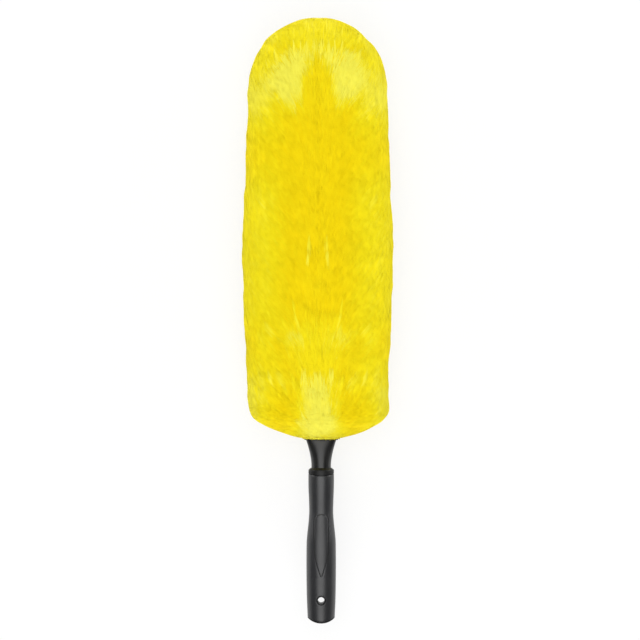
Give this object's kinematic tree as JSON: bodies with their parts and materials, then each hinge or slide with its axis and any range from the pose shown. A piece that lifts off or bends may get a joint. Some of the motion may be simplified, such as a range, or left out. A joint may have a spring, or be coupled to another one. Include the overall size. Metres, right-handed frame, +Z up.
{
  "type": "duster",
  "caption": "Long fluffy hand duster: a yellow fibre sleeve on a flat wand with a black moulded grip. The sleeve pulls off the wand.",
  "frame": {"origin": "On the table, under the middle of the whole duster's bounding box.", "axes": "+Y runs from the grip to the tip of the fibre head, +Z is up from the table and faces the thumb inlay, and +X is to the right seen from above with the head at the top."},
  "size_m": [0.1508, 0.6054, 0.1],
  "materials": {
    "grip_plastic": "fine matt moulding",
    "inlay_rubber": "soft-touch",
    "wand_plastic": "satin moulding",
    "black_plastic": "satin moulding",
    "elastic": "ribbed woven elastic",
    "knit": "knitted backing cloth",
    "fibre": "long combed pile"
  },
  "bodies": {
    "handle": {"grip_shell": "grip_plastic", "thumb_inlay": "inlay_rubber", "hang_eyelet": "black_plastic", "end_cap": "black_plastic", "collar_ring": "black_plastic", "wand_blade": "wand_plastic"},
    "sleeve": {"elastic_cuff": "elastic", "sleeve_backing": "knit", "fibre_tier_1": "fibre", "fibre_tier_2": "fibre", "fibre_tier_3": "fibre", "fibre_tier_4": "fibre", "fibre_tier_5": "fibre", "fibre_tier_6": "fibre", "fibre_crown": "fibre"}
  },
  "joints": [
    {"name": "sleeve_pull", "type": "slide", "parent": "handle", "child": "sleeve", "axis": [0, 1, 0], "range_m": [0, 0.4]}
  ]
}
